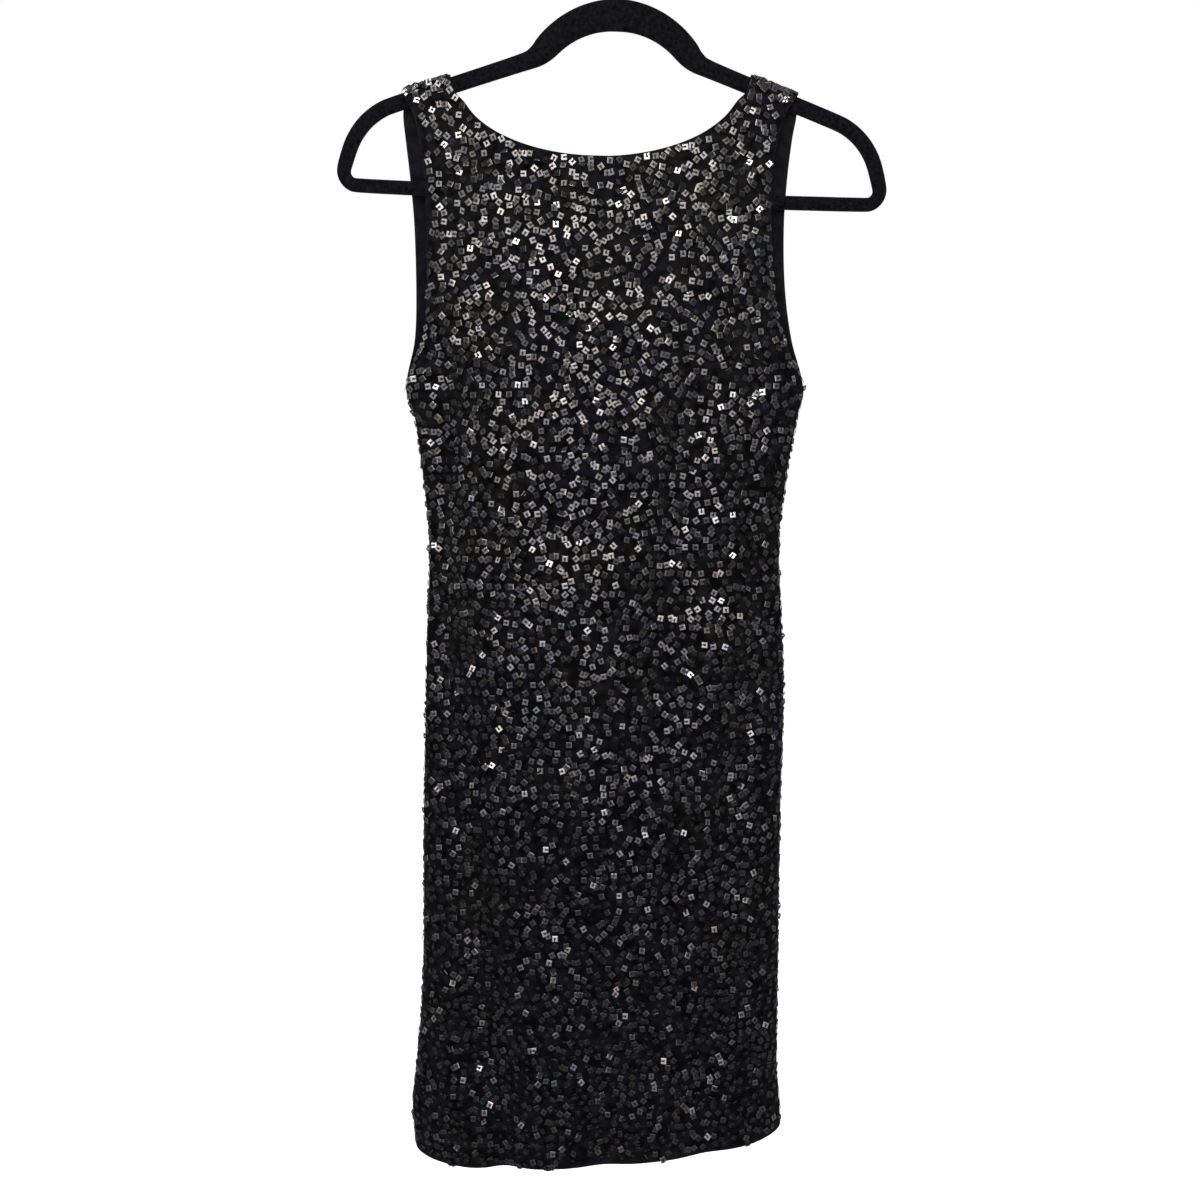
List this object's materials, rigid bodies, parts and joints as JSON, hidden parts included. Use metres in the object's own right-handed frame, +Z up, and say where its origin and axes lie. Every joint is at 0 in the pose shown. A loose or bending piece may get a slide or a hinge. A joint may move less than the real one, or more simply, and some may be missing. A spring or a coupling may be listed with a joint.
{
  "type": "cocktail dress on a clothes hanger",
  "caption": "Sleeveless knee-length sheath dress with a wide scoop neck, covered in small square sequins, hanging on a slim flocked hanger with a wire hook.",
  "frame": {"origin": "the top of the inside of the hanger's hook, where it rests on a rail", "axes": "+Z up, along the dress's length; the dress's front faces -Y; +X is to the right as the front is looked at"},
  "size_m": [0.4461, 0.0712, 1.069],
  "materials": {
    "sequinned_net": "matt black knit under small glossy square sequins",
    "lining_jersey": "plain black jersey, matt",
    "flocked_plastic": "black flocking on a moulded core",
    "plated_steel": "bright plated wire"
  },
  "bodies": {
    "root": {"front_panel": "sequinned_net", "back_panel": "sequinned_net", "back_armhole_facing_left": "lining_jersey", "back_armhole_facing_right": "lining_jersey", "hanger_frame": "flocked_plastic", "hanger_hook": "plated_steel"}
  },
  "joints": []
}
